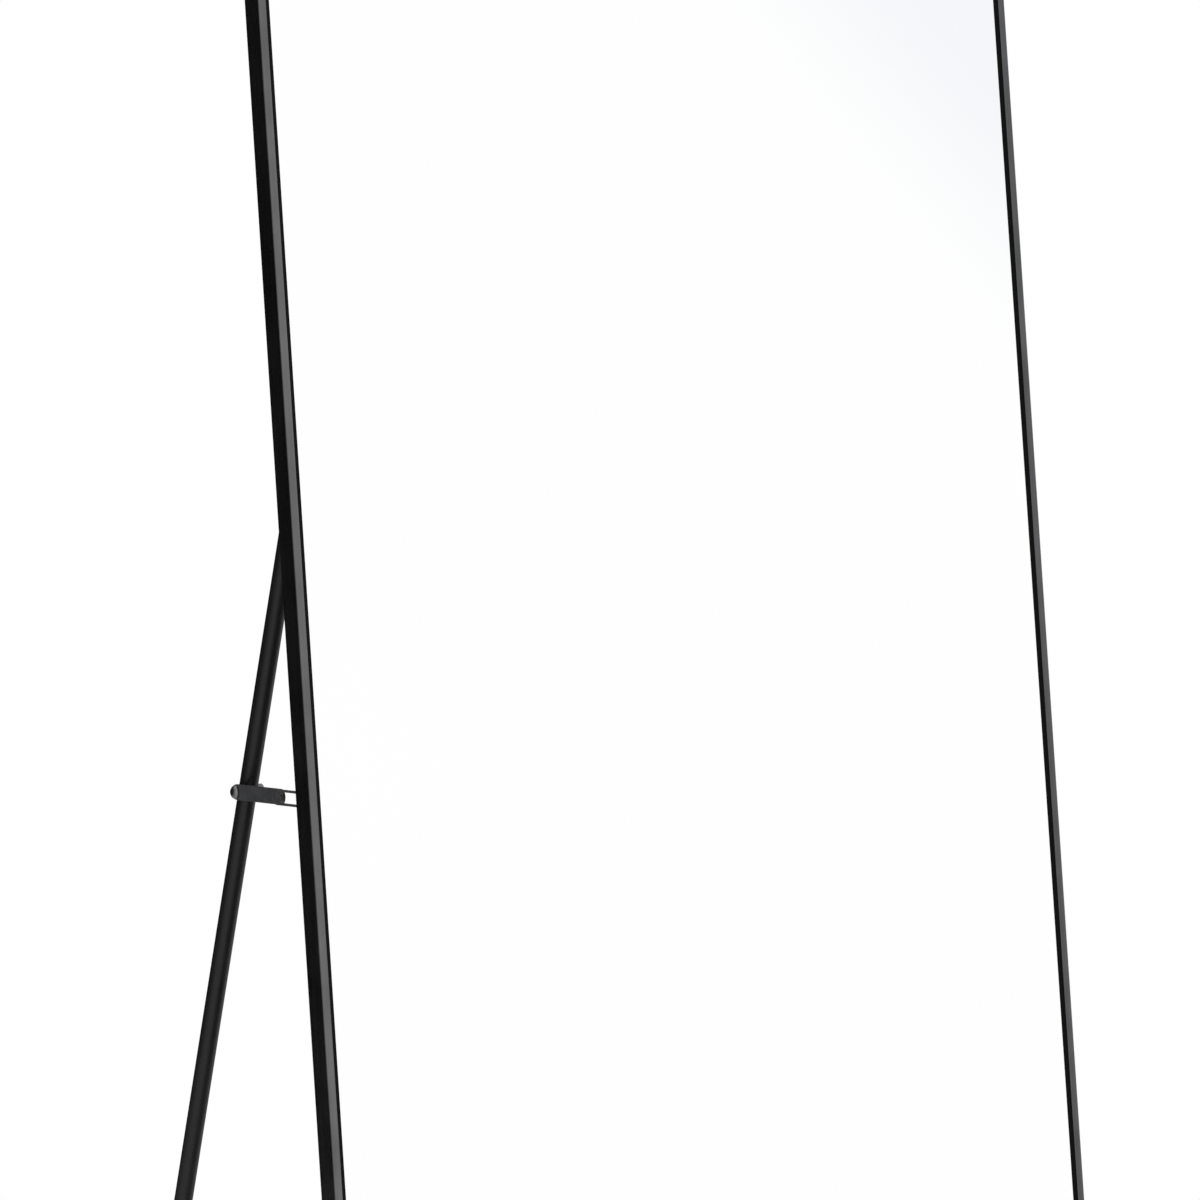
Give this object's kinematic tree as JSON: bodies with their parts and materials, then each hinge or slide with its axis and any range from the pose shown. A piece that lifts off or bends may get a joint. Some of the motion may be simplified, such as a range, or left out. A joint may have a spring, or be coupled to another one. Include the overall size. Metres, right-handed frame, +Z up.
{
  "type": "full-length mirror",
  "caption": "Tall rectangular mirror in a slim black metal frame that leans back on a folding U-shaped tube stand, held open by jointed knee stays.",
  "frame": {"origin": "on the floor, at the middle of the footprint", "axes": "+Z up, the glass faces -Y and leans back towards +Y, +X to the right as seen by its user"},
  "size_m": [0.54, 0.4614, 1.6197],
  "materials": {
    "frame_black": "satin black anodised, fine lines along the rails",
    "mirror_glass": "silvered float glass, polished",
    "seal_rubber": "matte black seal",
    "foot_rubber": "matte black, slightly grained",
    "foam_white": "closed-cell foam sheet",
    "board_fibre": "brown hardboard with the print of the press screen",
    "zinc_steel": "bright zinc plated",
    "screw_black": "black oxide",
    "bracket_black": "satin black powder coat",
    "tube_black": "satin black powder coat",
    "cap_plastic": "moulded black plastic",
    "washer_nylon": "black nylon",
    "link_dark": "dark zinc, satin",
    "bolt_steel": "dark zinc plated"
  },
  "bodies": {
    "mirror_frame": {"rail_bottom": "frame_black", "rail_left": "frame_black", "rail_top": "frame_black", "rail_right": "frame_black", "corner_key_bottom_left": "zinc_steel", "corner_key_top_left": "zinc_steel", "corner_key_top_right": "zinc_steel", "corner_key_bottom_right": "zinc_steel", "corner_screws": "screw_black", "glass_seal": "seal_rubber", "mirror_glass": "mirror_glass", "foam_sheet": "foam_white", "backing_board": "board_fibre", "spring_clips": "zinc_steel", "hinge_bracket_left": "bracket_black", "hinge_bracket_right": "bracket_black", "hinge_nut_strip_left": "zinc_steel", "hinge_nut_strip_right": "zinc_steel", "hinge_bracket_screws": "screw_black", "pivot_bolt_left": "bolt_steel", "pivot_bolt_right": "bolt_steel", "pivot_nut_left": "bolt_steel", "pivot_nut_right": "bolt_steel", "pivot_washers": "washer_nylon", "front_foot_left": "foot_rubber", "front_foot_right": "foot_rubber", "stay_bracket_left": "bracket_black", "stay_bracket_right": "bracket_black", "stay_nut_strip_left": "zinc_steel", "stay_nut_strip_right": "zinc_steel", "stay_bracket_screws": "screw_black", "stay_frame_rivet_left": "bolt_steel", "stay_frame_rivet_right": "bolt_steel"},
    "stand": {"stand_tube": "tube_black", "leg_cap_left": "cap_plastic", "leg_cap_right": "cap_plastic", "stand_foot_left": "foot_rubber", "stand_foot_right": "foot_rubber", "stay_leg_bolt_left": "bolt_steel", "stay_leg_bolt_right": "bolt_steel", "stay_leg_nut_left": "bolt_steel", "stay_leg_nut_right": "bolt_steel"},
    "stay_rear_left": {"stay_rear_link_left": "link_dark", "knee_rivet_tail_left": "link_dark"},
    "stay_front_left": {"stay_front_link_left": "link_dark", "knee_rivet_head_left": "link_dark"},
    "stay_rear_right": {"stay_rear_link_right": "link_dark", "knee_rivet_tail_right": "link_dark"},
    "stay_front_right": {"stay_front_link_right": "link_dark", "knee_rivet_head_right": "link_dark"}
  },
  "joints": [
    {"name": "stand_fold", "type": "hinge", "parent": "mirror_frame", "child": "stand", "pos_m": [0, -0.08347, 0.84341], "axis": [-1, 0, 0], "range_deg": [0, 28]},
    {"name": "stay_rear_left", "type": "hinge", "parent": "stand", "child": "stay_rear_left", "pos_m": [-0.254, -0.0031, 0.62258], "axis": [-1, 0, 0], "range_deg": [0, 66.46]},
    {"name": "stay_front_left", "type": "hinge", "parent": "mirror_frame", "child": "stay_front_left", "pos_m": [-0.2563, -0.11353, 0.62951], "axis": [-1, 0, 0], "range_deg": [-85.64, 0]},
    {"name": "stay_rear_right", "type": "hinge", "parent": "stand", "child": "stay_rear_right", "pos_m": [0.254, -0.0031, 0.62258], "axis": [-1, 0, 0], "range_deg": [0, 66.46]},
    {"name": "stay_front_right", "type": "hinge", "parent": "mirror_frame", "child": "stay_front_right", "pos_m": [0.2563, -0.11353, 0.62951], "axis": [-1, 0, 0], "range_deg": [-85.64, 0]}
  ],
  "couplings": [
    {"joint": "stay_rear_left", "follows": "stand_fold", "ratio": 2.3718},
    {"joint": "stay_front_left", "follows": "stand_fold", "ratio": -3.0568},
    {"joint": "stay_rear_right", "follows": "stand_fold", "ratio": 2.3718},
    {"joint": "stay_front_right", "follows": "stand_fold", "ratio": -3.0568}
  ]
}
